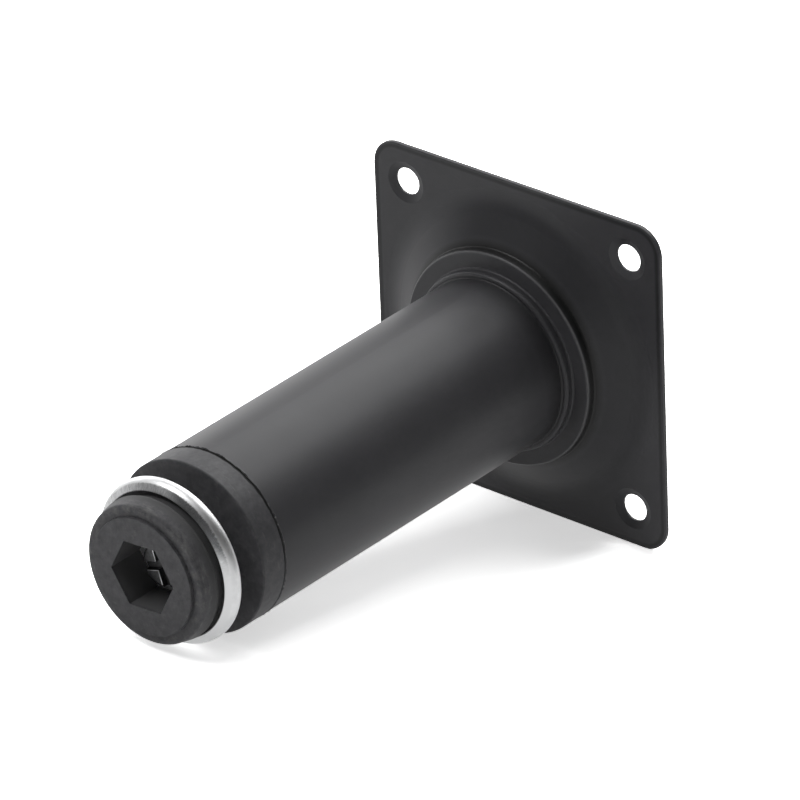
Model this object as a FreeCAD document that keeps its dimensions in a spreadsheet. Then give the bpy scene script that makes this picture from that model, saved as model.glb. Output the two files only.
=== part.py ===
import FreeCAD, Part
import math
import os
import Sketcher

# Adjustable furniture leg: a round steel tube under a pressed square plate, with a plastic plug
# in its lower end that carries a screw-in glide. It stands on the glide, +Z up, and the origin
# is the centre of the glide's face on the floor. Every size is in millimetres.

SIZES = (
    # whole leg, from the back of the plate to the front of the plug
    ("leg_length", 139.5),
    # glide as it is screwed out, from the top of its cup to the front of the plug
    ("glide_gap", 7.0),
    ("glide_turn", 147.3),
    # mounting plate
    ("plate_side", 100.0),
    ("plate_thickness", 1.5),
    ("plate_corner_radius", 8.0),
    ("plate_edge_radius", 0.3),
    ("hole_inset", 11.3),
    ("hole_diameter", 8.0),
    ("countersink_diameter", 12.4),
    ("countersink_depth", 0.9),
    ("dish_margin", 6.5),
    ("dish_height", 7.2),
    ("dish_crease_radius", 12.0),
    ("collar_shelf", 5.2),
    ("collar_draft", 0.3),
    ("collar_step", 2.5),
    ("collar_foot_radius", 0.6),
    ("collar_edge_radius", 0.8),
    ("lip_height", 2.8),
    ("lip_root_radius", 0.6),
    ("lip_edge_radius", 0.9),
    ("lip_clearance", 0.05),
    # tube and its weld
    ("tube_diameter", 50.3),
    ("tube_wall", 1.5),
    ("tube_edge_radius", 0.3),
    ("tube_stick_out", 2.6),
    ("weld_leg", 2.2),
    # plug
    ("plug_stand_out", 0.05),
    ("plug_collar_length", 8.6),
    ("plug_edge_radius", 0.5),
    ("plug_seat_chamfer", 0.35),
    ("plug_floor", 5.0),
    ("plug_hole_clearance", 0.4),
    ("skirt_clearance", 0.3),
    ("skirt_length", 16.0),
    ("skirt_wall", 2.0),
    ("boss_wall", 3.1),
    ("boss_height", 17.0),
    ("rib_count", 6),
    ("rib_thickness", 2.0),
    ("rib_height", 14.0),
    ("rib_bite", 0.5),
    ("ridge_count", 3),
    ("ridge_pitch", 4.5),
    ("ridge_start", 2.5),
    ("ridge_ramp", 1.5),
    ("ridge_land", 0.4),
    # nut held in the plug
    ("nut_across_flats", 18.6),
    ("nut_height", 10.0),
    ("nut_fit", 0.1),
    ("thread_clearance", 0.05),
    # cup of the glide
    ("cup_diameter", 48.0),
    ("cup_thickness", 1.5),
    ("cup_edge_radius", 1.4),
    ("cup_wall", 1.7),
    ("cup_rim_inset", 2.6),
    ("cup_throat_inset", 2.9),
    ("cup_depth", 3.1),
    ("cup_crest_depth", 0.6),
    ("cup_crest_radius", 1.5),
    ("cup_throat_depth", 2.9),
    # pad of the glide
    ("pad_height", 11.5),
    ("pad_band_width", 3.0),
    ("pad_band_setback", 1.1),
    ("pad_draft", 1.0),
    ("pad_front_radius", 1.3),
    ("pad_disc_radius", 0.25),
    ("pad_shoulder_clearance", 0.05),
    ("pad_shoulder_level", 6.2),
    ("pad_shoulder_radius", 0.8),
    ("pad_neck_clearance", 1.4),
    ("pad_neck_level", 7.2),
    ("pad_flange_depth", 2.1),
    ("pad_flange_clearance", 0.25),
    ("socket_across_flats", 18.8),
    # stud of the glide
    ("stud_diameter", 12.0),
    ("stud_length", 42.0),
    ("stud_chamfer", 1.0),
    ("stud_neck_diameter", 10.0),
    ("stud_neck_fit", 0.05),
    ("stud_head_diameter", 12.6),
    ("stud_head_height", 4.0),
    ("stud_head_radius", 0.7),
    ("slot_width", 2.7),
    ("slot_depth", 1.8),
    ("slot_turn", -12.6),
)
# How far a cutting sketch runs past the material that it cuts.
OVERRUN = 1.0

doc = FreeCAD.newDocument("AdjustableLeg")
sheet = doc.addObject("Spreadsheet::Sheet", "Sizes")
for row, (name, number) in enumerate(SIZES, start=1):
    sheet.set(f"A{row}", name)
    sheet.set(f"B{row}", str(number))
    sheet.setAlias(f"B{row}", name)
doc.recompute()


def size(expression):
    """Number that an expression on the sheet's sizes gives."""
    return float(sheet.evalExpression(expression))


def half(name):
    """Expression for half of a named size, such as a radius."""
    return f"Sizes.{name} / 2"


# Levels up the leg, as expressions on the sheet.
CUP_LEVEL = "Sizes.pad_height"
PLUG_LEVEL = f"{CUP_LEVEL} + Sizes.cup_thickness + Sizes.glide_gap"
TUBE_LEVEL = f"{PLUG_LEVEL} + Sizes.plug_collar_length"
PLATE_LEVEL = f"{PLUG_LEVEL} + Sizes.leg_length"
COLLAR_RISE = "(Sizes.dish_height + Sizes.collar_step)"
BOSS_TOP = "Sizes.plug_floor + Sizes.boss_height"
TUBE_INSIDE = "(Sizes.tube_diameter / 2 - Sizes.tube_wall)"
SKIRT_OUTSIDE = f"({TUBE_INSIDE} - Sizes.skirt_clearance)"
SKIRT_INSIDE = f"({SKIRT_OUTSIDE} - Sizes.skirt_wall)"
CUP_INSIDE = f"({half('cup_diameter')} - Sizes.cup_wall)"
CUP_THROAT = f"({half('cup_diameter')} - Sizes.cup_throat_inset)"


def new_body(label, level):
    """Body whose own zero lies at a level of the leg."""
    body = doc.addObject("PartDesign::Body", label)
    body.Label = label
    body.setExpression("Placement.Base.z", level)
    return body


def turned_body(label, level):
    """Body of the glide, turned about the leg's axis as the glide is screwed."""
    body = new_body(label, level)
    turn = FreeCAD.Rotation(FreeCAD.Vector(0, 0, 1), size("Sizes.glide_turn"))
    body.Placement = FreeCAD.Placement(FreeCAD.Vector(0, 0, size(level)), turn)
    body.setExpression("Placement.Rotation.Angle", "Sizes.glide_turn * 1 deg")
    return body


def new_sketch(body, name, role, level=None):
    """Sketch on one of the body's origin planes, raised along its normal if a level is given."""
    sketch = body.newObject("Sketcher::SketchObject", name)
    plane = [feature for feature in body.Origin.OriginFeatures if feature.Role == role][0]
    sketch.AttachmentSupport = [(plane, "")]
    sketch.MapMode = "FlatFace"
    if level:
        sketch.setExpression("AttachmentOffset.Base.z", level)
    return sketch


def outline(sketch, corners):
    """Closed run of straight edges, each corner placed by two expressions."""
    places = [FreeCAD.Vector(size(across), size(up), 0) for across, up in corners]
    count = len(corners)
    for index in range(count):
        sketch.addGeometry(Part.LineSegment(places[index], places[(index + 1) % count]), False)
    for index in range(count):
        joined = Sketcher.Constraint("Coincident", index, 2, (index + 1) % count, 1)
        sketch.addConstraint(joined)
    for index, corner in enumerate(corners):
        for kind, axis, expression in (("DistanceX", -2, corner[0]), ("DistanceY", -1, corner[1])):
            if expression == "0":
                sketch.addConstraint(Sketcher.Constraint("PointOnObject", index, 1, axis))
            else:
                rule = Sketcher.Constraint(kind, -1, 1, index, 1, size(expression))
                number = sketch.addConstraint(rule)
                sketch.setExpression(f"Constraints[{number}]", expression)


def circle(sketch, radius):
    """Circle about the sketch's origin."""
    centre = FreeCAD.Vector(0, 0, 0)
    ring = sketch.addGeometry(Part.Circle(centre, FreeCAD.Vector(0, 0, 1), size(radius)), False)
    sketch.addConstraint(Sketcher.Constraint("Coincident", ring, 3, -1, 1))
    number = sketch.addConstraint(Sketcher.Constraint("Radius", ring, size(radius)))
    sketch.setExpression(f"Constraints[{number}]", radius)


def hexagon(sketch, across_flats):
    """Hexagon about the sketch's origin, with two corners on its X axis."""
    corner_radius = f"({across_flats}) / 2 / cos(30 deg)"
    turns = range(0, 360, 60)
    outline(sketch, [(f"{corner_radius} * cos({turn} deg)", f"{corner_radius} * sin({turn} deg)")
                     if turn % 180 else (f"{corner_radius} * cos({turn} deg)", "0") for turn in turns])


def revolve(body, name, corners):
    """Solid of revolution about Z, from an outline of radius and height."""
    sketch = new_sketch(body, f"{name}Outline", "XZ_Plane")
    outline(sketch, corners)
    feature = body.newObject("PartDesign::Revolution", name)
    feature.Profile = sketch
    feature.ReferenceAxis = (sketch, ["V_Axis"])
    feature.Angle = 360.0
    doc.recompute()
    return feature


def extrude(body, kind, name, sketch, length, reverse=False, middle=False):
    """Pad or pocket of a sketch."""
    feature = body.newObject(f"PartDesign::{kind}", name)
    feature.Profile = sketch
    feature.setExpression("Length", length)
    feature.Reversed = reverse
    feature.Midplane = middle
    doc.recompute()
    return feature


def ring_edges(feature, places):
    """Names of the feature's round edges about Z at the given radii and heights."""
    names = []
    for radius, height in places:
        for number, edge in enumerate(feature.Shape.Edges, start=1):
            round_edge = isinstance(edge.Curve, Part.Circle)
            if not round_edge or math.hypot(edge.Curve.Center.x, edge.Curve.Center.y) > 1e-4:
                continue
            off_radius = abs(edge.Curve.Radius - size(radius))
            off_height = abs(edge.Curve.Center.z - size(height))
            if off_radius < 1e-4 and off_height < 1e-4:
                names.append(f"Edge{number}")
    return names


def soften(body, name, kind, radius, edges):
    """Fillet or chamfer on named edges of the body's last feature."""
    base = body.Tip
    feature = body.newObject(f"PartDesign::{kind}", name)
    feature.Base = (base, edges)
    feature.setExpression("Radius" if kind == "Fillet" else "Size", radius)
    doc.recompute()
    return feature


def repeat(body, name, original, copies):
    """Copies of a feature, evenly spread round Z."""
    feature = body.newObject("PartDesign::PolarPattern", name)
    feature.Originals = [original]
    axis = [part for part in body.Origin.OriginFeatures if part.Role == "Z_Axis"][0]
    feature.Axis = (axis, [""])
    feature.Angle = 360.0
    feature.setExpression("Occurrences", copies)
    body.Tip = feature
    doc.recompute()
    return feature


def mounting_plate():
    """Pressed square plate. Its own zero is the back, which lies against the furniture."""
    thickness = "Sizes.plate_thickness"
    bore = f"({half('tube_diameter')} + Sizes.lip_clearance)"
    lip = f"({bore} + {thickness})"
    face = f"-{thickness}"
    foot_of_collar = f"-{thickness} - Sizes.dish_height"
    collar_face = f"-{thickness} - {COLLAR_RISE}"
    lip_end = f"{collar_face} - Sizes.lip_height"
    dish = f"({half('plate_side')} - Sizes.dish_margin)"
    collar = f"({lip} + Sizes.collar_shelf)"
    foot = f"({collar} + Sizes.collar_draft)"
    side = half("plate_side")
    body = new_body("mounting_plate", PLATE_LEVEL)

    square = new_sketch(body, "PlateOutline", "XY_Plane")
    outline(square, [(f"-{side}", f"-{side}"), (side, f"-{side}"), (side, side), (f"-{side}", side)])
    sheet_blank = extrude(body, "Pad", "Blank", square, thickness, reverse=True)
    upright = [f"Edge{number}" for number, edge in enumerate(sheet_blank.Shape.Edges, start=1)
               if abs(edge.tangentAt(edge.FirstParameter).z) > 0.99]
    rounded = soften(body, "Corners", "Fillet", "Sizes.plate_corner_radius", upright)
    level = [f"Edge{number}" for number, edge in enumerate(rounded.Shape.Edges, start=1)
             if abs(edge.tangentAt(edge.FirstParameter).z) < 0.01]
    soften(body, "Rims", "Fillet", "Sizes.plate_edge_radius", level)

    middle = new_sketch(body, "DishCircle", "XY_Plane")
    circle(middle, dish)
    extrude(body, "Pocket", "DishOpening", middle, thickness)
    pressing = revolve(body, "Pressing", [
        (dish, face), (foot, foot_of_collar), (collar, collar_face), (lip, collar_face),
        (lip, lip_end), (bore, lip_end), (bore, f"-{COLLAR_RISE}"),
        (f"{collar} - {thickness}", f"-{COLLAR_RISE}"),
        (f"{foot} - {thickness}", "-Sizes.dish_height"), (dish, "0")])
    soften(body, "DishCrease", "Fillet", "Sizes.dish_crease_radius",
           ring_edges(pressing, [(dish, face), (dish, "0")]))
    soften(body, "CollarFoot", "Fillet", "Sizes.collar_foot_radius", ring_edges(body.Tip, [
        (foot, foot_of_collar), (f"{foot} - {thickness}", "-Sizes.dish_height")]))
    soften(body, "CollarEdge", "Fillet", "Sizes.collar_edge_radius",
           ring_edges(body.Tip, [(collar, collar_face)]))
    soften(body, "LipRoot", "Fillet", "Sizes.lip_root_radius",
           ring_edges(body.Tip, [(lip, collar_face)]))
    soften(body, "LipEdge", "Fillet", "Sizes.lip_edge_radius",
           ring_edges(body.Tip, [(lip, lip_end)]))

    # One screw hole with its countersink on the foot's side, then four of it round the leg.
    hole_place = f"{side} - Sizes.hole_inset"
    hole = new_sketch(body, "HoleOutline", "XZ_Plane", hole_place)
    hole.setExpression("AttachmentOffset.Base.x", hole_place)
    bottom = f"-{thickness} - {OVERRUN}"
    outline(hole, [("0", f"{OVERRUN}"), ("0", bottom), (half("countersink_diameter"), bottom),
                   (half("countersink_diameter"), face),
                   (half("hole_diameter"), f"{face} + Sizes.countersink_depth"),
                   (half("hole_diameter"), f"{OVERRUN}")])
    cut = body.newObject("PartDesign::Groove", "ScrewHole")
    cut.Profile = hole
    cut.ReferenceAxis = (hole, ["V_Axis"])
    cut.Angle = 360.0
    doc.recompute()
    repeat(body, "ScrewHoles", cut, "4")
    return body


def leg_tube():
    """Round steel tube, from the plug's collar to just inside the pressed collar."""
    body = new_body("leg_tube", TUBE_LEVEL)
    section = new_sketch(body, "TubeSection", "XY_Plane")
    circle(section, half("tube_diameter"))
    circle(section, TUBE_INSIDE)
    length = f"Sizes.leg_length - Sizes.plug_collar_length - {COLLAR_RISE} + Sizes.tube_stick_out"
    tube = extrude(body, "Pad", "Tube", section, length)
    soften(body, "TubeEdge", "Fillet", "Sizes.tube_edge_radius",
           ring_edges(tube, [(half("tube_diameter"), "0")]))
    return body


def weld_bead():
    """Fillet weld inside the plate's hollow, all round the tube's end."""
    body = new_body("weld_bead", f"{PLATE_LEVEL} - {COLLAR_RISE}")
    tube = half("tube_diameter")
    revolve(body, "Bead", [(tube, "0"), (f"{tube} + Sizes.weld_leg", "0"), (tube, "Sizes.weld_leg")])
    return body


def end_plug():
    """Moulded plug: a flush collar below the tube, a skirt inside it and a boss for the nut."""
    body = new_body("end_plug", PLUG_LEVEL)
    outside = f"({half('tube_diameter')} + Sizes.plug_stand_out)"
    hole = f"({half('stud_diameter')} + Sizes.plug_hole_clearance)"
    seat_flats = "(Sizes.nut_across_flats + 2 * Sizes.nut_fit)"
    boss = f"({seat_flats} / 2 / cos(30 deg) + Sizes.boss_wall)"
    collar = "Sizes.plug_collar_length"
    skirt_top = f"{collar} + Sizes.skirt_length"
    floor = "Sizes.plug_floor"
    shell = revolve(body, "Shell", [
        (hole, "0"), (outside, "0"), (outside, collar), (SKIRT_OUTSIDE, collar),
        (SKIRT_OUTSIDE, skirt_top), (SKIRT_INSIDE, skirt_top), (SKIRT_INSIDE, floor),
        (boss, floor), (boss, BOSS_TOP), (hole, BOSS_TOP)])
    soften(body, "FrontEdge", "Fillet", "Sizes.plug_edge_radius", ring_edges(shell, [(outside, "0")]))
    soften(body, "SeatEdge", "Chamfer", "Sizes.plug_seat_chamfer",
           ring_edges(body.Tip, [(outside, collar)]))

    seat = new_sketch(body, "NutSeat", "XY_Plane", BOSS_TOP)
    hexagon(seat, seat_flats)
    extrude(body, "Pocket", "NutPocket", seat, "Sizes.nut_height")

    web = new_sketch(body, "RibOutline", "XZ_Plane")
    inner = f"{boss} - Sizes.rib_bite"
    outer = f"{SKIRT_INSIDE} + Sizes.rib_bite"
    rib_top = f"{floor} + Sizes.rib_height"
    rib_foot = f"{floor} - Sizes.rib_bite"
    outline(web, [(inner, rib_foot), (outer, rib_foot), (outer, rib_top), (inner, rib_top)])
    rib = extrude(body, "Pad", "Rib", web, "Sizes.rib_thickness", middle=True)
    repeat(body, "Ribs", rib, "Sizes.rib_count")

    ridge_root = f"{SKIRT_OUTSIDE} - Sizes.rib_bite"
    start = f"{collar} + Sizes.ridge_start"
    ramp_end = f"{start} + Sizes.ridge_ramp + Sizes.ridge_land"
    ridge = revolve(body, "Ridge", [
        (ridge_root, start), (SKIRT_OUTSIDE, start), (TUBE_INSIDE, f"{start} + Sizes.ridge_land"),
        (TUBE_INSIDE, f"{start} + 2 * Sizes.ridge_land"), (SKIRT_OUTSIDE, ramp_end),
        (ridge_root, ramp_end)])
    ridges = body.newObject("PartDesign::LinearPattern", "Ridges")
    ridges.Originals = [ridge]
    ridges.Direction = (ridge.Profile[0], ["V_Axis"])
    ridges.setExpression("Length", "Sizes.ridge_pitch * (Sizes.ridge_count - 1)")
    ridges.setExpression("Occurrences", "Sizes.ridge_count")
    body.Tip = ridges
    doc.recompute()
    return body


def insert_nut():
    """Hexagon nut pressed into the plug's boss. The stud screws through it."""
    body = new_body("insert_nut", f"{PLUG_LEVEL} + {BOSS_TOP} - Sizes.nut_height")
    height = "Sizes.nut_height"
    bore = f"{half('stud_diameter')} + Sizes.thread_clearance"
    section = new_sketch(body, "NutSection", "XY_Plane")
    hexagon(section, "Sizes.nut_across_flats")
    circle(section, bore)
    extrude(body, "Pad", "Nut", section, height)

    # Both ends are turned back at 30 degrees, from a circle that just touches the flats.
    flat = half("nut_across_flats")
    corner = f"({flat} / cos(30 deg) + {OVERRUN})"
    drop = f"({corner} - {flat}) * tan(30 deg)"
    for name, level, sign in (("TopChamfer", height, "-"), ("FootChamfer", "0", "+")):
        trim = new_sketch(body, f"{name}Outline", "XZ_Plane")
        outline(trim, [(flat, level), (corner, level), (corner, f"{level} {sign} {drop}")])
        cut = body.newObject("PartDesign::Groove", name)
        cut.Profile = trim
        cut.ReferenceAxis = (trim, ["V_Axis"])
        cut.Angle = 360.0
        doc.recompute()
    return body


def glide_cup():
    """Pressed steel cup round the pad. Its own zero is the underside of its flat."""
    body = new_body("glide_cup", CUP_LEVEL)
    hole = f"{half('stud_neck_diameter')} + Sizes.stud_neck_fit"
    outside = half("cup_diameter")
    top = "Sizes.cup_thickness"
    cup = revolve(body, "Cup", [
        (hole, "0"), (CUP_INSIDE, "0"), (CUP_THROAT, "-Sizes.cup_throat_depth"),
        (f"{outside} - Sizes.cup_rim_inset", "-Sizes.cup_depth"),
        (outside, "-Sizes.cup_crest_depth"), (outside, top), (hole, top)])
    soften(body, "CupEdge", "Fillet", "Sizes.cup_edge_radius", ring_edges(cup, [(outside, top)]))
    soften(body, "CupCrest", "Fillet", "Sizes.cup_crest_radius",
           ring_edges(body.Tip, [(outside, "-Sizes.cup_crest_depth")]))
    return body


def glide_pad():
    """Moulded pad that meets the floor, with a hexagon socket through it."""
    body = turned_body("glide_pad", "0")
    height = "Sizes.pad_height"
    step = "Sizes.pad_band_setback"
    shoulder = f"({CUP_THROAT} - Sizes.pad_shoulder_clearance)"
    front = f"({shoulder} - Sizes.pad_draft)"
    disc = f"({front} - Sizes.pad_band_width)"
    neck = f"({CUP_THROAT} - Sizes.pad_neck_clearance)"
    flange_level = f"{height} - Sizes.pad_flange_depth"
    slope = f"({CUP_INSIDE} - {CUP_THROAT}) / Sizes.cup_throat_depth"
    flange_foot = f"{CUP_INSIDE} - {slope} * Sizes.pad_flange_depth - Sizes.pad_flange_clearance"
    pad = revolve(body, "Pad", [
        ("0", "0"), (disc, "0"), (disc, step), (front, step), (shoulder, "Sizes.pad_shoulder_level"),
        (neck, "Sizes.pad_neck_level"), (neck, flange_level), (flange_foot, flange_level),
        (f"{CUP_INSIDE} - Sizes.pad_flange_clearance", height), ("0", height)])
    soften(body, "FrontEdge", "Fillet", "Sizes.pad_front_radius",
           ring_edges(pad, [(front, step)]))
    soften(body, "DiscEdge", "Fillet", "Sizes.pad_disc_radius", ring_edges(body.Tip, [(disc, "0")]))
    soften(body, "Shoulder", "Fillet", "Sizes.pad_shoulder_radius",
           ring_edges(body.Tip, [(shoulder, "Sizes.pad_shoulder_level")]))
    socket = new_sketch(body, "SocketOutline", "XY_Plane")
    hexagon(socket, "Sizes.socket_across_flats")
    extrude(body, "Pocket", "Socket", socket, height, reverse=True)
    return body


def glide_stud():
    """Threaded stud riveted into the cup, with a slot in its lower head."""
    body = turned_body("glide_stud", CUP_LEVEL)
    rod = half("stud_diameter")
    neck = half("stud_neck_diameter")
    head = half("stud_head_diameter")
    head_face = "-Sizes.stud_head_height"
    shoulder = "Sizes.cup_thickness"
    top = f"{shoulder} + Sizes.stud_length"
    stud = revolve(body, "Stud", [
        ("0", head_face), (head, head_face), (head, "0"), (neck, "0"), (neck, shoulder),
        (rod, shoulder), (rod, top), ("0", top)])
    soften(body, "HeadEdge", "Fillet", "Sizes.stud_head_radius", ring_edges(stud, [(head, head_face)]))
    soften(body, "TopEdge", "Chamfer", "Sizes.stud_chamfer", ring_edges(body.Tip, [(rod, top)]))
    slot = new_sketch(body, "SlotOutline", "XY_Plane", head_face)
    turn = FreeCAD.Rotation(FreeCAD.Vector(0, 0, 1), size("Sizes.slot_turn"))
    slot.AttachmentOffset = FreeCAD.Placement(FreeCAD.Vector(0, 0, size(head_face)), turn)
    slot.setExpression("AttachmentOffset.Rotation.Angle", "Sizes.slot_turn * 1 deg")
    reach = f"({head} + {OVERRUN})"
    half_width = half("slot_width")
    outline(slot, [(f"-{reach}", f"-{half_width}"), (reach, f"-{half_width}"),
                   (reach, half_width), (f"-{reach}", half_width)])
    extrude(body, "Pocket", "Slot", slot, "Sizes.slot_depth", reverse=True)
    return body


nodes = [mounting_plate(), leg_tube(), weld_bead(), end_plug(), insert_nut(),
         glide_cup(), glide_pad(), glide_stud()]
doc.recompute()

for item in doc.Objects:
    if "Invalid" in item.State or "Error" in item.State:
        raise RuntimeError(f"{item.Label} failed to build: {item.State}")
os.makedirs("parts", exist_ok=True)
for node in nodes:
    shape = node.Shape
    if shape.isNull() or not shape.isValid() or len(shape.Solids) != 1:
        raise RuntimeError(f"{node.Label} is not one valid solid")
    shape.exportStep(f"parts/{node.Label}.step")
    box = shape.BoundBox
    print(f"{node.Label}: {shape.Volume:.1f} mm3, z {box.ZMin:.2f} to {box.ZMax:.2f}")
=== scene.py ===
import math

import bmesh
import bpy
from mathutils import Matrix, Vector, noise


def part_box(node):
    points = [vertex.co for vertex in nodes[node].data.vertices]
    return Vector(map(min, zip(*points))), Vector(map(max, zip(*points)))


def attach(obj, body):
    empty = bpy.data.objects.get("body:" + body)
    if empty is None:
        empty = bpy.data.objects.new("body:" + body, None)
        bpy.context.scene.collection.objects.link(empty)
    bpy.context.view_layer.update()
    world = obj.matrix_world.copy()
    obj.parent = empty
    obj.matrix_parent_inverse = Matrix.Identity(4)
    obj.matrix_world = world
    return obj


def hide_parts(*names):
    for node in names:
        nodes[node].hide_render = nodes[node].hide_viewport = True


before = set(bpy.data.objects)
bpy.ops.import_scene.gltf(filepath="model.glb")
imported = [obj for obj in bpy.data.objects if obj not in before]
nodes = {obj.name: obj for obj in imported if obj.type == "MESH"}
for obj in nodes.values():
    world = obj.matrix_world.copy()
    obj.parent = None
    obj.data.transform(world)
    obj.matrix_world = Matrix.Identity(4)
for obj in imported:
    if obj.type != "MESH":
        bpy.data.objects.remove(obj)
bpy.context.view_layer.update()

scene = bpy.context.scene
scene.view_settings.view_transform = "Standard"

# The camera looks at the leg as it lies on its side, from the foot's end and a little above.
CAMERA_PLACE = Vector((1.15982, 1.37137, -1.49011))
CAMERA_RIGHT = Vector((-0.03492, 0.77053, 0.63645))
CAMERA_UP = Vector((0.87615, -0.28276, 0.39040))
CAMERA_LENS = 399.28
CAMERA_NEAR = 0.1
CAMERA_FAR = 20.0
SENSOR_WIDTH = 36.0
camera = bpy.data.objects.new("camera", bpy.data.cameras.new("camera"))
camera.data.lens = CAMERA_LENS
camera.data.sensor_width = SENSOR_WIDTH
camera.data.clip_start = CAMERA_NEAR
camera.data.clip_end = CAMERA_FAR
aim = Matrix((CAMERA_RIGHT, CAMERA_UP, CAMERA_RIGHT.cross(CAMERA_UP))).transposed()
camera.matrix_world = Matrix.Translation(CAMERA_PLACE) @ aim.to_4x4()
scene.collection.objects.link(camera)
scene.camera = camera

# Mounting plate: one pressing of 1.5 mm steel sheet, dished and drawn up round the tube, with
# four countersunk holes. It is powder coated with the tube in a fine satin black with a faint
# orange peel. Its colour carries a painted highlight on the collar's edge, and painted shade in
# the collar's corner, across one side of the dish and in a thin line just inside the outline.
COAT_BLACK = (0.0465, 0.0462, 0.0500, 1.0)
COAT_GREY = (0.0550, 0.0546, 0.0585, 1.0)
COAT_EDGE_HIGHLIGHT = (0.105, 0.105, 0.109, 1.0)
COAT_DISH_SHADE = (0.0340, 0.0337, 0.0370, 1.0)
COAT_SHADED = (0.0220, 0.0218, 0.0235, 1.0)
COAT_DEEP_SHADE = (0.014, 0.014, 0.014, 1.0)
COAT_SHINE = 0.265
CLOUD_NOISE = (45.0, 3.0)
CLOUD_SPAN = (0.3, 0.7)
CLOUD_ROUGHNESS = (0.38, 0.42)
PEEL_NOISE = (1700.0, 2.0)
PEEL_HEIGHT = 0.000012
PLATE_HALF = 0.0500
PLATE_CORNER = 0.0080
PLATE_RIM = (0.0060, 0.0067, 0.0072, 0.0076)
COLLAR_EDGE = (0.0313, 0.0316, 0.0318, 0.0320)
COLLAR_CORNER = (0.0318, 0.03205, 0.0326, 0.0344)
DISH_SHADE_REACH = (0.0322, 0.0352, 0.0430, 0.0470)
DISH_FAR_SIDE = (-0.034, -0.012)


def new_material(name):
    """Empty Principled material with its node tree, shader and object coordinates."""
    material = bpy.data.materials.new(name)
    material.use_nodes = True
    tree = material.node_tree
    shader = tree.nodes["Principled BSDF"]
    place = tree.nodes.new("ShaderNodeTexCoord").outputs["Object"]
    return material, tree, shader, place


def noise_texture(tree, place, scale, detail=2.0, roughness=0.5):
    """Noise over the given coordinates, from 0 to 1."""
    texture = tree.nodes.new("ShaderNodeTexNoise")
    texture.inputs["Scale"].default_value = scale
    texture.inputs["Detail"].default_value = detail
    texture.inputs["Roughness"].default_value = roughness
    tree.links.new(place, texture.inputs["Vector"])
    return texture.outputs["Fac"]


def ramp(tree, value, low, high):
    """Value stretched so that low gives 0 and high gives 1, and held between them."""
    stretch = tree.nodes.new("ShaderNodeMapRange")
    stretch.inputs["From Min"].default_value = low
    stretch.inputs["From Max"].default_value = high
    tree.links.new(value, stretch.inputs["Value"])
    return stretch.outputs["Result"]


def calculate(tree, operation, *values):
    """Result of a Math node on plain numbers and on the outputs of other nodes."""
    step = tree.nodes.new("ShaderNodeMath")
    step.operation = operation
    for socket, value in zip(step.inputs, values):
        if isinstance(value, float):
            socket.default_value = value
        else:
            tree.links.new(value, socket)
    return step.outputs[0]


def calculate_vector(tree, operation, *values):
    """Vector Math node on plain vectors and on the outputs of other nodes."""
    step = tree.nodes.new("ShaderNodeVectorMath")
    step.operation = operation
    for socket, value in zip(step.inputs, values):
        if isinstance(value, tuple):
            socket.default_value = value
        else:
            tree.links.new(value, socket)
    return step


def band(tree, value, start, full, fade, end):
    """1 where the value lies between full and fade, and down to 0 at start and end."""
    return calculate(tree, "MULTIPLY", ramp(tree, value, start, full), ramp(tree, value, end, fade))


def axes(tree, place):
    """X, Y and Z of the coordinates."""
    split = tree.nodes.new("ShaderNodeSeparateXYZ")
    tree.links.new(place, split.inputs[0])
    return split.outputs


def from_axis(tree, place):
    """Distance of a point from the leg's axis."""
    flat = calculate_vector(tree, "MULTIPLY", place, (1.0, 1.0, 0.0)).outputs[0]
    return calculate_vector(tree, "LENGTH", flat).outputs["Value"]


def towards_edge(tree, place):
    """How far a point lies towards the plate's outline, where it reaches the corner radius."""
    start = PLATE_HALF - PLATE_CORNER
    fold = calculate_vector(tree, "ABSOLUTE", place).outputs[0]
    past = calculate_vector(tree, "SUBTRACT", fold, (start, start, 1.0)).outputs[0]
    past = calculate_vector(tree, "MAXIMUM", past, (0.0, 0.0, 0.0)).outputs[0]
    return calculate_vector(tree, "LENGTH", past).outputs["Value"]


def blend_numbers(tree, factor, first, second):
    """Number that goes from first to second with the factor."""
    stretch = tree.nodes.new("ShaderNodeMapRange")
    stretch.inputs["To Min"].default_value = first
    stretch.inputs["To Max"].default_value = second
    tree.links.new(factor, stretch.inputs["Value"])
    return stretch.outputs["Result"]


def blend_colours(tree, factor, first, second):
    """Colour that goes from first to second with the factor."""
    mix = tree.nodes.new("ShaderNodeMix")
    mix.data_type = "RGBA"
    for socket, colour in ((mix.inputs[6], first), (mix.inputs[7], second)):
        if isinstance(colour, tuple):
            socket.default_value = colour
        else:
            tree.links.new(colour, socket)
    tree.links.new(factor, mix.inputs[0])
    return mix.outputs[2]


def add_bump(tree, shader, height, distance):
    """Bump on the shader."""
    bump = tree.nodes.new("ShaderNodeBump")
    bump.inputs["Distance"].default_value = distance
    bump.inputs["Strength"].default_value = 1.0
    tree.links.new(height, bump.inputs["Height"])
    tree.links.new(bump.outputs["Normal"], shader.inputs["Normal"])


def new_coat(name):
    """Powder coat with a faint peel, and its tree, shader, coordinates and clouded colour."""
    material, tree, shader, place = new_material(name)
    cloud = ramp(tree, noise_texture(tree, place, *CLOUD_NOISE), *CLOUD_SPAN)
    tree.links.new(blend_numbers(tree, cloud, *CLOUD_ROUGHNESS), shader.inputs["Roughness"])
    shader.inputs["Specular IOR Level"].default_value = COAT_SHINE
    add_bump(tree, shader, noise_texture(tree, place, *PEEL_NOISE), PEEL_HEIGHT)
    return material, tree, shader, place, blend_colours(tree, cloud, COAT_BLACK, COAT_GREY)


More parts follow.
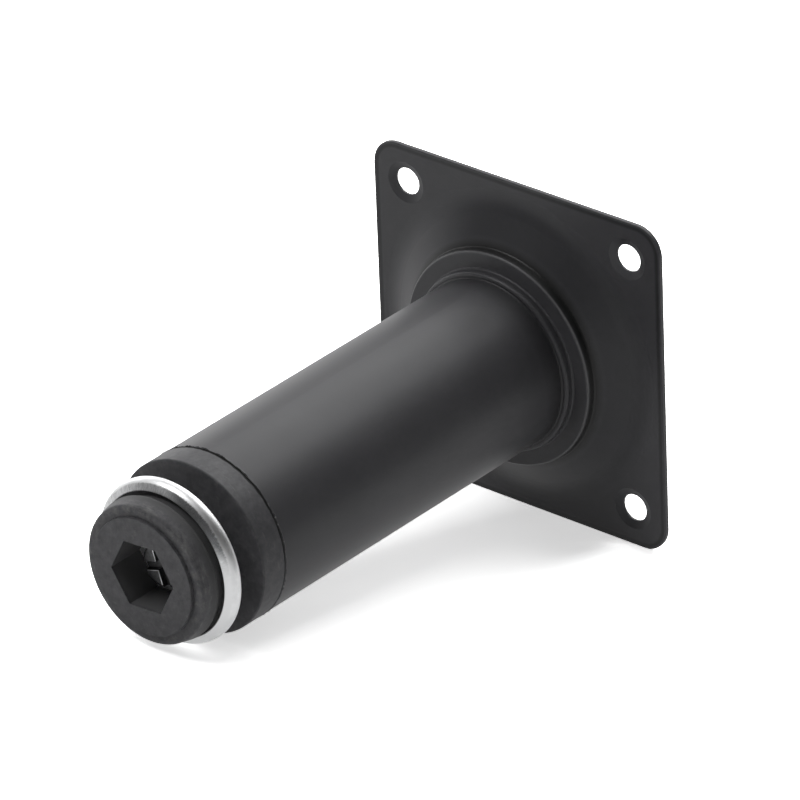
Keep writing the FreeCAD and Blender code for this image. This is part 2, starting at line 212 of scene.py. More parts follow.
powder_coat, tree, shader, place, colour = new_coat("powder_coat")
reach = from_axis(tree, place)
# Painted shade: a band across the dish round the collar is darkened on one side.
far_side = ramp(tree, axes(tree, place)["Y"], *DISH_FAR_SIDE)
dish_shade = calculate(tree, "MULTIPLY", band(tree, reach, *DISH_SHADE_REACH), far_side)
# Painted shade: a thin dark line just inside the plate's outline.
rolled = band(tree, towards_edge(tree, place), *PLATE_RIM)
colour = blend_colours(tree, dish_shade, colour, COAT_DISH_SHADE)
# Painted highlight: a light band on the collar's rounded edge.
colour = blend_colours(tree, band(tree, reach, *COLLAR_EDGE), colour, COAT_EDGE_HIGHLIGHT)
# Painted shade: a dark band in the collar's corner and just outside it.
colour = blend_colours(tree, band(tree, reach, *COLLAR_CORNER), colour, COAT_DEEP_SHADE)
colour = blend_colours(tree, rolled, colour, COAT_SHADED)
tree.links.new(colour, shader.inputs["Base Color"])
nodes["mounting_plate"].material_slots[0].material = powder_coat

# Leg tube: a round steel tube, sawn square and pushed through the plate's collar. The coating
# gathers in a thin, uneven bead just above its sawn lower end. Its colour carries painted shade
# in the seam at that end, light flecks painted on the bead as glints, and painted shade towards
# the plate's lip.
COAT_GLINT = (0.240, 0.240, 0.245, 1.0)
LIP_SHADE = 0.0070
SEAM_NOISE = (320.0, 5.0, 0.7)
SEAM_WANDER = 0.0011
SEAM_FADE = 0.00092
SEAM_FULL = 0.00078
SEAM_SIDE = (0.004, 0.022)
SEAM_STRENGTH = (0.35, 1.0)
SEAM_ROUGHNESS = (0.40, 0.9)
GLINT_NOISE = (620.0, 4.0, 0.65)
GLINT_SPAN = (0.57, 0.63)
GLINT_LEVELS = (0.0002, 0.0003, 0.0006, 0.0008)
GLINT_SIDE = (-0.014, -0.006, 0.012, 0.020)
EDGE_STEPS = 360
EDGE_SKIRT = 0.00025
EDGE_RISE = 0.00045
EDGE_SINK = 0.0001
EDGE_SWELL = 0.00010
EDGE_SECTION = ((-EDGE_SINK, 0.0), (0.0, 0.1), (EDGE_SWELL, 0.4), (0.0, 0.9), (-EDGE_SINK, 1.0))
EDGE_LUMPS = ((1.0, 9.0), (1.0, 40.0), (0.6, 110.0))
EDGE_WANDER = 0.00016
EDGE_WAVES = 26.0
tube_low, tube_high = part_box("leg_tube")
tube_radius = tube_high.x
lip_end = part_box("mounting_plate")[0].z
tube_coat, tree, shader, place, colour = new_coat("tube_coat")
sides = axes(tree, place)
# Painted shade: the colour goes dark and rough in an uneven band at the tube's sawn lower end, fainter on
# one side.
wander = noise_texture(tree, place, *SEAM_NOISE)
seam = calculate(tree, "MULTIPLY_ADD", wander, SEAM_WANDER, sides["Z"])
seam = calculate(tree, "MULTIPLY", ramp(tree, seam, tube_low.z + SEAM_FADE, tube_low.z + SEAM_FULL),
                 blend_numbers(tree, ramp(tree, sides["X"], *SEAM_SIDE), *SEAM_STRENGTH))
# Painted glints: light flecks on the bead just above the sawn end, on one side.
glints = calculate(tree, "MULTIPLY", ramp(tree, noise_texture(tree, place, *GLINT_NOISE), *GLINT_SPAN),
                  band(tree, sides["Z"], *[tube_low.z + level for level in GLINT_LEVELS]))
glints = calculate(tree, "MULTIPLY", glints, band(tree, sides["X"], *GLINT_SIDE))
# Painted shade: the tube's colour darkens over the last few millimetres below the plate's lip.
shaded = ramp(tree, sides["Z"], lip_end - LIP_SHADE, lip_end)
colour = blend_colours(tree, shaded, colour, COAT_SHADED)
colour = blend_colours(tree, seam, colour, COAT_DEEP_SHADE)
colour = blend_colours(tree, glints, colour, COAT_GLINT)
tree.links.new(colour, shader.inputs["Base Color"])
tree.links.new(blend_numbers(tree, seam, *SEAM_ROUGHNESS), shader.inputs["Roughness"])
nodes["leg_tube"].material_slots[0].material = tube_coat


def add_chain(shape, places):
    """Vertices at places of radius and height on the X side, joined by edges."""
    corners = [shape.verts.new((radius, 0.0, height)) for radius, height in places]
    return corners + [shape.edges.new(pair) for pair in zip(corners, corners[1:])]


def spin_round(shape, section, steps, gap=1e-7):
    """Ring round the leg's axis, with a closed section given in places of radius and height."""
    chain = add_chain(shape, section + [section[0]])
    bmesh.ops.spin(shape, geom=chain, cent=(0, 0, 0), axis=(0, 0, 1), angle=2 * math.pi,
                   steps=steps, use_merge=True)
    bmesh.ops.remove_doubles(shape, verts=shape.verts, dist=gap)


def add_piece(name, shape, material, body, crease=35.0):
    """Object from a finished bmesh, smooth but for its creases, that rides on a body."""
    bmesh.ops.recalc_face_normals(shape, faces=shape.faces)
    for face in shape.faces:
        face.smooth = True
    mesh = bpy.data.meshes.new(name)
    shape.to_mesh(mesh)
    shape.free()
    mesh.set_sharp_from_angle(angle=math.radians(crease))
    mesh.materials.append(material)
    piece = bpy.data.objects.new(name, mesh)
    scene.collection.objects.link(piece)
    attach(piece, body)
    return piece


edge = tube_low.z + EDGE_SKIRT
section = [(tube_radius + out, edge + share * EDGE_RISE) for out, share in EDGE_SECTION]
shape = bmesh.new()
spin_round(shape, section, EDGE_STEPS)
for corner in shape.verts:
    across = Vector((corner.co.x, corner.co.y, 0.0))
    way = across.normalized()
    lump = sum(weight * noise.noise(way * waves) for weight, waves in EDGE_LUMPS)
    swell = max(0.0, across.length - tube_radius + EDGE_SWELL)
    corner.co += way * swell * lump
    corner.co.z += EDGE_WANDER * abs(noise.noise(way * EDGE_WAVES))
add_piece("coat_edge", shape, tube_coat, "leg")

# Coat fillet: the coating bridges the fine joint between the plate's lip and the tube, in one
# smooth hollow all round.
FILLET_LEG = 0.0006
FILLET_STEPS = 8
FILLET_SINK = 0.00005
heart = Vector((tube_radius + FILLET_LEG, lip_end - FILLET_LEG))
hollow = []
for step in range(FILLET_STEPS + 1):
    swing = math.pi / 2 * step / FILLET_STEPS
    hollow.append((heart.x - FILLET_LEG * math.cos(swing), heart.y + FILLET_LEG * math.sin(swing)))
inside = tube_radius - FILLET_SINK
behind = lip_end + FILLET_SINK
section = [(inside, hollow[0][1])] + hollow + [(hollow[-1][0], behind), (inside, behind)]
shape = bmesh.new()
spin_round(shape, section, EDGE_STEPS)
add_piece("coat_fillet", shape, tube_coat, "leg")

# Weld bead: one run of weld in the plate's hollow, all round the tube's end, laid in small
# overlapping ripples and coated with the rest.
RIPPLES = 64
RIPPLE_STEPS = 6
RIPPLE_HEIGHT = 0.00016
RIPPLE_BOW = 0.7
RIPPLE_WANDER = 0.3
RIPPLE_WAVES = 6.0
BEAD_STEPS = 8
BEAD_BULGE = 0.00035
BEAD_CREASE = 60.0
bead_low, bead_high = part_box("weld_bead")
bead_leg = bead_high.z - bead_low.z
bead_heart = Vector((tube_radius, bead_low.z))
section = [tuple(bead_heart)]
for step in range(BEAD_STEPS + 1):
    swing = math.pi / 2 * step / BEAD_STEPS
    straight = 1.0 / (math.cos(swing) + math.sin(swing))
    reach = bead_leg * straight + BEAD_BULGE * math.sin(2 * swing)
    section.append((bead_heart.x + reach * math.cos(swing), bead_heart.y + reach * math.sin(swing)))
shape = bmesh.new()
spin_round(shape, section, RIPPLES * RIPPLE_STEPS, 1e-6)
for corner in shape.verts:
    across = Vector((corner.co.x, corner.co.y, 0.0))
    out = Vector((across.length, corner.co.z)) - bead_heart
    if out.length > bead_leg / 4:
        turn = math.atan2(corner.co.y, corner.co.x) / (2 * math.pi)
        swing = math.atan2(out.y, out.x) / (math.pi / 2)
        bow = RIPPLE_BOW * math.sin(math.pi * swing)
        wander = RIPPLE_WANDER * noise.noise(across.normalized() * RIPPLE_WAVES)
        wave = (turn * RIPPLES + bow + wander) % 1.0
        rise = RIPPLE_HEIGHT * math.sin(math.pi * swing) * (1.0 - wave)
        push = out.normalized() * rise
        corner.co += across.normalized() * push.x + Vector((0.0, 0.0, push.y))
weld = add_piece("weld_run", shape, powder_coat, "leg", BEAD_CREASE)
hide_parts("weld_bead")

# End plug: moulded in black plastic, with a collar that stands flush below the tube and a
# ribbed skirt pressed into it. Its collar is mottled and a little scuffed from handling, and
# uneven painted shade darkens it next to the tube, along the gap between them.
PLUG_BLACK = (0.0460, 0.0458, 0.0500, 1.0)
PLUG_GREY = (0.0780, 0.0776, 0.0820, 1.0)
PLUG_SCUFF = (0.100, 0.100, 0.101, 1.0)
PLUG_SHINE = 0.31
PLUG_ROUGHNESS = (0.52, 0.9)
PLUG_MOTTLE_NOISE = (420.0, 5.0, 0.7)
PLUG_MOTTLE_SPAN = (0.35, 0.72)
PLUG_MARKS_FINENESS = (260.0, 260.0, 1300.0)
PLUG_MARKS_NOISE = (1.0, 4.0, 0.6)
PLUG_MARKS_SPAN = (0.60, 0.78)
PLUG_GRAIN_NOISE = (2600.0, 3.0)
PLUG_GRAIN_HEIGHT = 0.00001
GAP_NOISE = (420.0, 4.0, 0.7)
GAP_WANDER = 0.0010
GAP_WIDER = 0.00035
GAP_FADE = 0.00012
GAP_FULL = 0.00022
plug_plastic, tree, shader, place = new_material("plug_plastic")
mottle = ramp(tree, noise_texture(tree, place, *PLUG_MOTTLE_NOISE), *PLUG_MOTTLE_SPAN)
finer = calculate_vector(tree, "MULTIPLY", place, PLUG_MARKS_FINENESS).outputs[0]
marks = noise_texture(tree, finer, *PLUG_MARKS_NOISE)
sides = axes(tree, place)
# Painted shade: the plug's colour goes dark and rough in an uneven band just below the tube's end, wider
# on one side.
gap = calculate(tree, "MULTIPLY_ADD", noise_texture(tree, place, *GAP_NOISE), GAP_WANDER, sides["Z"])
gap = calculate(tree, "MULTIPLY_ADD", ramp(tree, sides["X"], *SEAM_SIDE), GAP_WIDER, gap)
gap = ramp(tree, gap, tube_low.z + GAP_FADE, tube_low.z + GAP_FULL)
colour = blend_colours(tree, mottle, PLUG_BLACK, PLUG_GREY)
colour = blend_colours(tree, ramp(tree, marks, *PLUG_MARKS_SPAN), colour, PLUG_SCUFF)
colour = blend_colours(tree, gap, colour, COAT_DEEP_SHADE)
tree.links.new(colour, shader.inputs["Base Color"])
tree.links.new(blend_numbers(tree, gap, *PLUG_ROUGHNESS), shader.inputs["Roughness"])
shader.inputs["Specular IOR Level"].default_value = PLUG_SHINE
add_bump(tree, shader, noise_texture(tree, place, *PLUG_GRAIN_NOISE), PLUG_GRAIN_HEIGHT)
nodes["end_plug"].material_slots[0].material = plug_plastic

# Insert nut: a zinc-plated hexagon nut pressed into the plug's boss.
ZINC_BRIGHT = (0.82, 0.825, 0.83, 1.0)
ZINC_DULL = (0.71, 0.715, 0.72, 1.0)
ZINC_NOISE = (260.0, 4.0, 0.6)
ZINC_SPAN = (0.35, 0.7)
ZINC_ROUGHNESS = (0.30, 0.40)


def new_zinc(name):
    """Zinc plating with a faint cloud, and its tree, shader, coordinates and clouded colour."""
    material, tree, shader, place = new_material(name)
    shader.inputs["Metallic"].default_value = 1.0
    cloud = ramp(tree, noise_texture(tree, place, *ZINC_NOISE), *ZINC_SPAN)
    colour = blend_colours(tree, cloud, ZINC_BRIGHT, ZINC_DULL)
    tree.links.new(colour, shader.inputs["Base Color"])
    tree.links.new(blend_numbers(tree, cloud, *ZINC_ROUGHNESS), shader.inputs["Roughness"])
    return material, tree, shader, place, colour


zinc_plate = new_zinc("zinc_plate")[0]
nodes["insert_nut"].material_slots[0].material = zinc_plate

# Glide cup: pressed from zinc-plated steel sheet, with its rim turned in round the pad. The
# turned-in slope is dragged by the tool, in short marks that run down it, and carries a
# granular painted dark reflection on one side.
SLOPE_DARK = (0.40, 0.405, 0.41, 1.0)
SLOPE_PALE = (0.82, 0.825, 0.83, 1.0)
SLOPE_CLEAN = (0.75, 0.755, 0.76, 1.0)
SLOPE_DARK_REFLECTION = (0.160, 0.163, 0.170, 1.0)
SLOPE_LEVELS = (0.00998, 0.00972)
SLOPE_WANDER = 0.0008
SLOPE_FINENESS = (30.0, 700.0)
DRAG_FINENESS = (36.0, 1150.0)
DRAG_NOISE = (1.0, 6.0, 0.8)
DRAG_SPAN = (0.34, 0.68)
DRAG_SIDE = (0.002, 0.013)
DRAG_ROUGHNESS = (0.46, 0.34)
CREST_ROUGHNESS = (0.48, 0.40)
REFLECTION_WAY = (0.79, 0.61, 0.0)
REFLECTION_REACH = (0.0185, 0.0208)
REFLECTION_NOISE = (4200.0, 2.0)
REFLECTION_SPAN = (0.35, 0.65)
REFLECTION_STRENGTH = (0.72, 0.95)
CUP_STEPS = 256
CUP_CREASE = 30.0
CUP_HOLE = 0.00505
CUP_FLOOR = 0.0015
CUP_WALL = 0.0017
CUP_THROAT = ((0.0029, 0.0002), (0.0028, 0.00005), (0.0026, 0.0))
CREST_RADIUS = 0.00293
CREST_SWING = math.radians(48.8)
CREST_STEPS = 12
CUP_EDGE_RADIUS = 0.0014
CUP_EDGE_STEPS = 8
FLAT_NORMAL = 0.9999


def round_place(tree, place, around, along):
    """Coordinates for marks on a turned piece: how fine they are round Z and along it."""
    flat = calculate_vector(tree, "MULTIPLY", place, (1.0, 1.0, 0.0)).outputs[0]
    spoke = calculate_vector(tree, "NORMALIZE", flat).outputs[0]
    spread = calculate_vector(tree, "SCALE", spoke)
    spread.inputs["Scale"].default_value = around
    total = calculate_vector(tree, "MULTIPLY_ADD", place, (0.0, 0.0, along), spread.outputs[0])
    return total.outputs[0]


def flatten_ends(piece):
    """Flat shading on the faces that lie square to the leg's axis."""
    for face in piece.data.polygons:
        if abs(face.normal.z) > FLAT_NORMAL:
            face.use_smooth = False


cup_zinc, tree, shader, place, clouded = new_zinc("cup_zinc")
sides = axes(tree, place)
drag = noise_texture(tree, round_place(tree, place, *DRAG_FINENESS), *DRAG_NOISE)
drag = ramp(tree, drag, *DRAG_SPAN)
wander = noise_texture(tree, round_place(tree, place, *SLOPE_FINENESS), *DRAG_NOISE)
level = calculate(tree, "MULTIPLY_ADD", wander, SLOPE_WANDER, sides["Z"])
slope = ramp(tree, level, *SLOPE_LEVELS)
# Painted dark reflection: a granular dark patch on the turned-in slope, on one side of the cup.
facing = calculate_vector(tree, "DOT_PRODUCT", place, REFLECTION_WAY).outputs["Value"]
grain = ramp(tree, noise_texture(tree, place, *REFLECTION_NOISE), *REFLECTION_SPAN)
dark_reflection = calculate(tree, "MULTIPLY", ramp(tree, facing, *REFLECTION_REACH),
                    blend_numbers(tree, grain, *REFLECTION_STRENGTH))
dragged = blend_colours(tree, drag, SLOPE_DARK, SLOPE_PALE)
dragged = blend_colours(tree, ramp(tree, sides["X"], *DRAG_SIDE), SLOPE_CLEAN, dragged)
dragged = blend_colours(tree, dark_reflection, dragged, SLOPE_DARK_REFLECTION)
tree.links.new(blend_colours(tree, slope, clouded, dragged), shader.inputs["Base Color"])
smooth = blend_numbers(tree, drag, *CREST_ROUGHNESS)
dulled = blend_numbers(tree, drag, *DRAG_ROUGHNESS)
mix = tree.nodes.new("ShaderNodeMix")
for socket, value in ((mix.inputs[0], slope), (mix.inputs[2], smooth), (mix.inputs[3], dulled)):
    tree.links.new(value, socket)
tree.links.new(mix.outputs[0], shader.inputs["Roughness"])
cup_low, cup_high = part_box("glide_cup")
crest = cup_high.z - CUP_EDGE_RADIUS
section = [(CUP_HOLE, cup_high.z - CUP_FLOOR), (cup_high.x - CUP_WALL, cup_high.z - CUP_FLOOR)]
section += [(cup_high.x - inset, cup_low.z + rise) for inset, rise in CUP_THROAT]
for step in range(CREST_STEPS + 1):
    swing = CREST_SWING * (1 - step / CREST_STEPS)
    section.append((cup_high.x - CREST_RADIUS * (1 - math.cos(swing)),
                    crest - CREST_RADIUS * math.sin(swing)))
for step in range(1, CUP_EDGE_STEPS + 1):
    swing = math.pi / 2 * step / CUP_EDGE_STEPS
    section.append((cup_high.x - CUP_EDGE_RADIUS * (1 - math.cos(swing)),
                    crest + CUP_EDGE_RADIUS * math.sin(swing)))
section.append((CUP_HOLE, cup_high.z))
shape = bmesh.new()
spin_round(shape, section, CUP_STEPS)
cup = add_piece("rolled_cup", shape, cup_zinc, "cup", CUP_CREASE)
flatten_ends(cup)
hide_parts("glide_cup")

# Glide pad: moulded in matt black plastic, with a raised disc that meets the floor and a
# hexagon socket through it. Its edges have fine scuffs. Painted light lifts the shade in its
# socket and on its neck by the cup, and painted shade darkens its side next to the cup.
PAD_BLACK = (0.0370, 0.0367, 0.0400, 1.0)
PAD_GREY = (0.1080, 0.1075, 0.1130, 1.0)
PAD_SCUFF = (0.150, 0.150, 0.148, 1.0)
PAD_PAINTED_LIGHT = (0.084, 0.084, 0.086, 1.0)
PAD_PAINTED_SHADE = (0.050, 0.050, 0.051, 1.0)
PAD_SHINE = 0.33
PAD_ROUGHNESS = (0.52, 0.66)
PAD_MOTTLE_NOISE = (330.0, 6.0, 0.75)
PAD_MOTTLE_SPAN = (0.30, 0.75)
PAD_MARKS_FINENESS = (240.0, 240.0, 900.0)
PAD_MARKS_NOISE = (1.0, 6.0, 0.7)
PAD_MARKS_SPAN = (0.60, 0.80)
PAD_SPECK_NOISE = (1500.0, 2.0, 0.5)
PAD_SPECK_SPAN = (0.70, 0.80)
PAD_GRAIN_NOISE = (2200.0, 3.0)
PAD_GRAIN_HEIGHT = 0.000012
SCUFF_SPAN = (0.48, 0.72)
SCUFF_REACH = (0.0172, 0.0182, 0.0202, 0.0210)
SOCKET_REACH = (0.0112, 0.0110)
SOCKET_DEPTH = (0.0003, 0.0012)
CUP_SHADE_REACH = (0.0150, 0.0152)
CUP_SHADE_LEVELS = (0.0034, 0.0054, 0.0058, 0.0064)
NECK_LEVELS = (0.0060, 0.0066)
pad_plastic, tree, shader, place = new_material("pad_plastic")
mottle = ramp(tree, noise_texture(tree, place, *PAD_MOTTLE_NOISE), *PAD_MOTTLE_SPAN)
finer = calculate_vector(tree, "MULTIPLY", place, PAD_MARKS_FINENESS).outputs[0]
marks = noise_texture(tree, finer, *PAD_MARKS_NOISE)
speck = noise_texture(tree, place, *PAD_SPECK_NOISE)
reach = from_axis(tree, place)
height = axes(tree, place)["Z"]
scuffed = calculate(tree, "MULTIPLY", ramp(tree, marks, *SCUFF_SPAN), band(tree, reach, *SCUFF_REACH))
# Painted light: inside the hexagon socket, deeper than about a millimetre, the colour is lightened where
# shade lies.
socket_light = calculate(tree, "MULTIPLY", ramp(tree, reach, *SOCKET_REACH), ramp(tree, height, *SOCKET_DEPTH))
# Painted shade: the pad's side is darkened in a band next to the cup.
cup_shade = calculate(tree, "MULTIPLY", ramp(tree, reach, *CUP_SHADE_REACH), band(tree, height, *CUP_SHADE_LEVELS))
colour = blend_colours(tree, mottle, PAD_BLACK, PAD_GREY)
colour = blend_colours(tree, ramp(tree, marks, *PAD_MARKS_SPAN), colour, PAD_SCUFF)
colour = blend_colours(tree, ramp(tree, speck, *PAD_SPECK_SPAN), colour, PAD_SCUFF)
colour = blend_colours(tree, scuffed, colour, PAD_SCUFF)
colour = blend_colours(tree, socket_light, colour, PAD_PAINTED_LIGHT)
colour = blend_colours(tree, cup_shade, colour, PAD_PAINTED_SHADE)
# Painted light: the pad's neck by the cup's rim is lightened where shade lies.
colour = blend_colours(tree, ramp(tree, height, *NECK_LEVELS), colour, PAD_PAINTED_LIGHT)
tree.links.new(colour, shader.inputs["Base Color"])
tree.links.new(blend_numbers(tree, mottle, *PAD_ROUGHNESS), shader.inputs["Roughness"])
shader.inputs["Specular IOR Level"].default_value = PAD_SHINE
add_bump(tree, shader, noise_texture(tree, place, *PAD_GRAIN_NOISE), PAD_GRAIN_HEIGHT)
nodes["glide_pad"].material_slots[0].material = pad_plastic

# Glide stud: a rolled M12 thread above the cup, which the stud's neck is riveted into. Its
# lower head fills part of the pad's socket, with a cross sawn in it. The head is painted dark
# as shade in the socket, with the bright zinc left on the cross's bevelled edges.
HEAD_DARK = (0.100, 0.100, 0.102, 1.0)
HEAD_GREY = (0.180, 0.182, 0.186, 1.0)
HEAD_NOISE = (900.0, 4.0, 0.7)
HEAD_SPAN = (0.35, 0.70)
HEAD_ROUGHNESS = (0.45, 0.32)
CROSS_TURN = math.radians(28.0)
CROSS_WIDTH = 0.0024
CROSS_DEPTH = 0.0016
CROSS_BEVEL = 0.00018
SLOT_ABOVE = 0.001
SLOT_BELOW = 0.003
SAW_LENGTH = 0.02
MERGE_ANGLE = math.radians(1.0)
THREAD_PITCH = 0.00175
THREAD_CREST = 0.00595
THREAD_ROOT = 0.00505
THREAD_STEPS = 48
THREAD_SECTION = ((THREAD_ROOT, 0.0), (THREAD_ROOT, 0.14), (THREAD_CREST, 0.44),
                  (THREAD_CREST, 0.56), (THREAD_ROOT, 0.86), (THREAD_ROOT, 1.0))
THREAD_LEAD = 1.3
START_LENGTH = 0.0013
START_DROP = 0.0012
START_INSET = 0.0003
# Painted shade: the head's material is a dark, mottled metal that stands for the shade in the socket.
head_shade_zinc, tree, shader, place = new_material("head_shade_zinc")
shader.inputs["Metallic"].default_value = 1.0
head_mottle = ramp(tree, noise_texture(tree, place, *HEAD_NOISE), *HEAD_SPAN)
tree.links.new(blend_colours(tree, head_mottle, HEAD_DARK, HEAD_GREY), shader.inputs["Base Color"])
tree.links.new(blend_numbers(tree, head_mottle, *HEAD_ROUGHNESS), shader.inputs["Roughness"])
stud_low, stud_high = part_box("glide_stud")
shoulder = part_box("glide_cup")[1].z
shape = bmesh.new()
shape.from_mesh(nodes["glide_stud"].data)
bmesh.ops.remove_doubles(shape, verts=shape.verts, dist=1e-7)
whole = shape.verts[:] + shape.edges[:] + shape.faces[:]
cut = bmesh.ops.bisect_plane(shape, geom=whole, plane_co=(0, 0, shoulder + THREAD_PITCH / 8),
                             plane_no=(0, 0, 1), clear_outer=True)
bmesh.ops.holes_fill(shape, edges=[e for e in cut["geom_cut"] if isinstance(e, bmesh.types.BMEdge)])
bmesh.ops.dissolve_limit(shape, angle_limit=MERGE_ANGLE, verts=shape.verts, edges=shape.edges)
bmesh.ops.rotate(shape, cent=(0, 0, 0), verts=shape.verts, matrix=Matrix.Rotation(CROSS_TURN, 3, "Z"))
slot_way = Vector((0.0, 0.0, 0.0))
for corner in shape.verts:
    if abs(corner.co.z - stud_low.z) > SLOT_ABOVE and corner.co.z < shoulder - SLOT_BELOW:
        slot_way += corner.co.xy.to_3d() * (1.0 if corner.co.y > 0 else -1.0)
across = Vector((-slot_way.y, slot_way.x, 0.0)).normalized()
head = bpy.data.meshes.new("head")
shape.to_mesh(head)
shape.free()
blank = bpy.data.objects.new("blank", head)
saw = bpy.data.meshes.new("saw")
shape = bmesh.new()
bmesh.ops.create_cube(shape, size=1.0)
bmesh.ops.scale(shape, verts=shape.verts, vec=(SAW_LENGTH, CROSS_WIDTH, 2 * CROSS_DEPTH))
bmesh.ops.rotate(shape, cent=(0, 0, 0), verts=shape.verts,
                 matrix=Matrix.Rotation(math.atan2(across.y, across.x), 3, "Z"))
bmesh.ops.translate(shape, verts=shape.verts, vec=(0, 0, stud_low.z))
shape.to_mesh(saw)
shape.free()
blade = bpy.data.objects.new("blade", saw)
for item in (blank, blade):
    scene.collection.objects.link(item)
sawing = blank.modifiers.new("sawing", "BOOLEAN")
sawing.operation = "DIFFERENCE"
sawing.solver = "EXACT"
sawing.object = blade
bpy.context.view_layer.update()
sawn = blank.evaluated_get(bpy.context.evaluated_depsgraph_get())
sawn_head = bpy.data.meshes.new_from_object(sawn)
for item in (blank, blade):
    bpy.data.objects.remove(item)
shape = bmesh.new()
shape.from_mesh(sawn_head)
bmesh.ops.remove_doubles(shape, verts=shape.verts, dist=1e-7)
bmesh.ops.dissolve_limit(shape, angle_limit=MERGE_ANGLE, verts=shape.verts, edges=shape.edges)
for face in shape.faces:
    face.material_index = 1
shape.normal_update()
lips = [edge for edge in shape.edges if edge.is_manifold
        and all(abs(corner.co.z - stud_low.z) < 1e-5 for corner in edge.verts)
        and min(abs(face.normal.z) for face in edge.link_faces) < 0.1
        and max(abs(face.normal.z) for face in edge.link_faces) > 0.99]
cut = bmesh.ops.bevel(shape, geom=lips, offset=CROSS_BEVEL, segments=2, profile=0.5, affect="EDGES",
                      material=-1)
for face in cut["faces"]:
    face.material_index = 0
thread = bmesh.new()
base = shoulder - THREAD_LEAD * THREAD_PITCH
ring = add_chain(thread, [(radius, base + share * THREAD_PITCH) for radius, share in THREAD_SECTION])
turns = math.ceil((stud_high.z - base) / THREAD_PITCH) + 1
bmesh.ops.spin(thread, geom=ring, cent=(0, 0, 0), axis=(0, 0, 1), angle=2 * math.pi * turns,
               dvec=(0, 0, THREAD_PITCH / THREAD_STEPS), steps=turns * THREAD_STEPS)
bmesh.ops.remove_doubles(thread, verts=thread.verts, dist=1e-6)
for level, outward in ((shoulder, False), (stud_high.z, True)):
    whole = thread.verts[:] + thread.edges[:] + thread.faces[:]
    cut = bmesh.ops.bisect_plane(thread, geom=whole, plane_co=(0, 0, level), plane_no=(0, 0, 1),
                                 clear_outer=outward, clear_inner=not outward)
    rim = [e for e in cut["geom_cut"] if isinstance(e, bmesh.types.BMEdge)]
    bmesh.ops.holes_fill(thread, edges=rim)
for corner in thread.verts:
    reach = math.hypot(corner.co.x, corner.co.y)
    most = THREAD_ROOT - START_INSET + (stud_high.z - corner.co.z) * (START_DROP / START_LENGTH)
    if reach > most:
        corner.co.x *= most / reach
        corner.co.y *= most / reach
rod = bpy.data.meshes.new("rod")
thread.to_mesh(rod)
thread.free()
shape.from_mesh(rod)
stud = add_piece("threaded_stud", shape, zinc_plate, "glide")
stud.data.materials.append(head_shade_zinc)
flatten_ends(stud)
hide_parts("glide_stud")

# Floor: the white sweep that the leg lies on, touching the plate's back edge and the cup. It
# shows only from the side that the leg is on, white to the camera and in the leg's reflections.
FLOOR_NORMAL = Vector((0.98487, 0.0, 0.17329))
FLOOR_POINT = Vector((-0.0500, 0.0, 0.1595))
FLOOR_SIDE = 3.0
FLOOR_WHITE = (0.95, 0.95, 0.95, 1.0)
FLOOR_ROUGHNESS = 0.9
FLOOR_SHINE = 0.1
FLOOR_LIFT = 0.57
FLOOR_BLEACH = 1.0
FLOOR_MIRRORED = 0.65


def in_mirrors(tree, path):
    """1 for the rays that a glossy or a clear surface sends on."""
    return calculate(tree, "MAXIMUM", path.outputs["Is Glossy Ray"], path.outputs["Is Transmission Ray"])


mesh = bpy.data.meshes.new("floor")
shape = bmesh.new()
bmesh.ops.create_grid(shape, x_segments=1, y_segments=1, size=FLOOR_SIDE / 2)
bmesh.ops.rotate(shape, cent=(0, 0, 0), verts=shape.verts,
                 matrix=FLOOR_NORMAL.to_track_quat("Z", "Y").to_matrix())
bmesh.ops.translate(shape, verts=shape.verts, vec=FLOOR_POINT)
shape.to_mesh(mesh)
shape.free()
floor = bpy.data.objects.new("floor", mesh)
scene.collection.objects.link(floor)
sweep, tree, shader, place = new_material("sweep")
shader.inputs["Base Color"].default_value = FLOOR_WHITE
shader.inputs["Roughness"].default_value = FLOOR_ROUGHNESS
shader.inputs["Specular IOR Level"].default_value = FLOOR_SHINE
path = tree.nodes.new("ShaderNodeLightPath")
seen = path.outputs["Is Camera Ray"]
mirrored = tree.nodes.new("ShaderNodeEmission")
lifted = tree.nodes.new("ShaderNodeMixShader")
tree.links.new(blend_numbers(tree, in_mirrors(tree, path), 0.0, FLOOR_MIRRORED), lifted.inputs["Fac"])
tree.links.new(shader.outputs[0], lifted.inputs[1])
tree.links.new(mirrored.outputs[0], lifted.inputs[2])
bleached = tree.nodes.new("ShaderNodeBsdfDiffuse")
tree.links.new(blend_numbers(tree, seen, 0.0, FLOOR_BLEACH), bleached.inputs["Color"])
glow = tree.nodes.new("ShaderNodeEmission")
tree.links.new(blend_numbers(tree, seen, 0.0, FLOOR_LIFT), glow.inputs["Strength"])
for extra in (bleached, glow):
    both = tree.nodes.new("ShaderNodeAddShader")
    tree.links.new(lifted.outputs[0], both.inputs[0])
    tree.links.new(extra.outputs[0], both.inputs[1])
    lifted = both
clear = tree.nodes.new("ShaderNodeBsdfTransparent")
facing = tree.nodes.new("ShaderNodeNewGeometry")
one_sided = tree.nodes.new("ShaderNodeMixShader")
tree.links.new(facing.outputs["Backfacing"], one_sided.inputs["Fac"])
tree.links.new(lifted.outputs[0], one_sided.inputs[1])
tree.links.new(clear.outputs[0], one_sided.inputs[2])
tree.links.new(one_sided.outputs[0], tree.nodes["Material Output"].inputs["Surface"])
floor.data.materials.append(sweep)

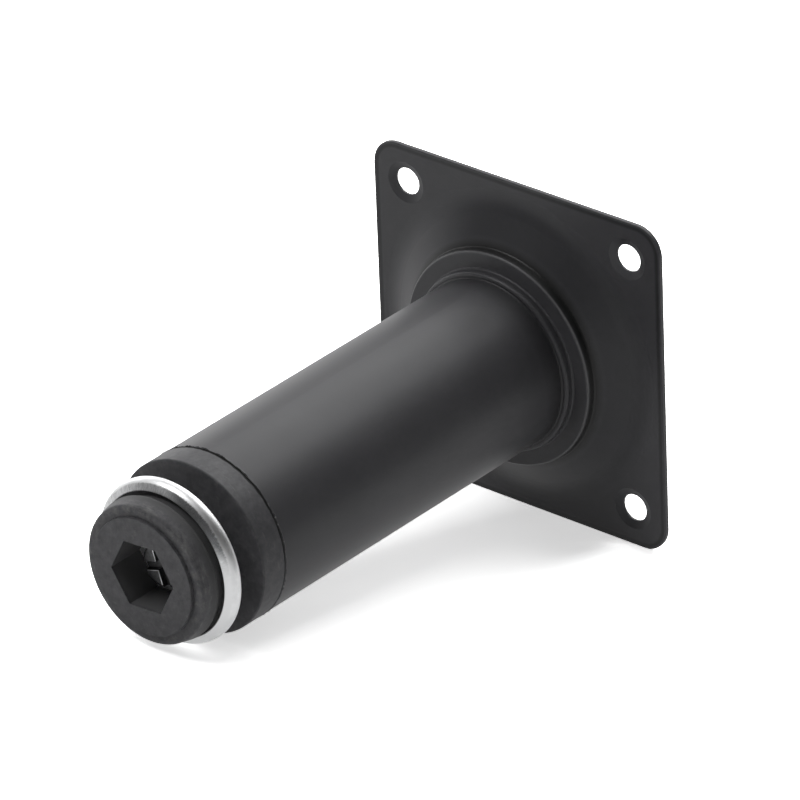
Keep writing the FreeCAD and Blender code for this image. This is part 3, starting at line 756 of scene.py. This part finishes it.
# Studio: six soft lamps round the leg, each given by its direction and power, and a pale room
# behind them that is white where the camera sees it.
LEG_MIDDLE = Vector((0.0, 0.0, 0.085))
LAMP_DISTANCE = 1.2
LAMP_SIDE = 0.6
LAMPS = (("left_lamp", (0.86, -0.34, -0.37), 6.6), ("right_lamp", (0.41, -0.12, 0.91), 6.2),
         ("top_lamp", (0.87, 0.13, 0.48), 3.6), ("back_lamp", (0.69, -0.38, 0.61), 2.7),
         ("low_lamp", (0.21, -0.89, 0.40), 2.1), ("side_lamp", (0.69, 0.34, 0.64), 1.2))
ROOM_STRENGTH = 0.05
BEHIND_FULL = 0.4
for name, toward, power in LAMPS:
    lamp = bpy.data.objects.new(name, bpy.data.lights.new(name, "AREA"))
    lamp.data.shape = "SQUARE"
    lamp.data.size = LAMP_SIDE
    lamp.data.energy = power
    back = Vector(toward).normalized()
    lamp.location = LEG_MIDDLE + back * LAMP_DISTANCE
    lamp.rotation_mode = "QUATERNION"
    lamp.rotation_quaternion = back.to_track_quat("Z", "Y")
    scene.collection.objects.link(lamp)
world = bpy.data.worlds.new("studio")
world.use_nodes = True
scene.world = world
tree = world.node_tree
room = tree.nodes["Background"]
room.inputs["Color"].default_value = (1.0, 1.0, 1.0, 1.0)
room.inputs["Strength"].default_value = ROOM_STRENGTH
backdrop = tree.nodes.new("ShaderNodeBackground")
backdrop.inputs["Color"].default_value = (1.0, 1.0, 1.0, 1.0)
path = tree.nodes.new("ShaderNodeLightPath")
ray = tree.nodes.new("ShaderNodeTexCoord").outputs["Generated"]
beyond = tuple((LEG_MIDDLE - CAMERA_PLACE).normalized())
behind = ramp(tree, calculate_vector(tree, "DOT_PRODUCT", ray, beyond).outputs["Value"], 0.0, BEHIND_FULL)
mirrored = calculate(tree, "MULTIPLY", in_mirrors(tree, path), behind)
white = calculate(tree, "MAXIMUM", path.outputs["Is Camera Ray"], mirrored)
choice = tree.nodes.new("ShaderNodeMixShader")
tree.links.new(white, choice.inputs["Fac"])
tree.links.new(room.outputs[0], choice.inputs[1])
tree.links.new(backdrop.outputs[0], choice.inputs[2])
tree.links.new(choice.outputs[0], tree.nodes["World Output"].inputs["Surface"])
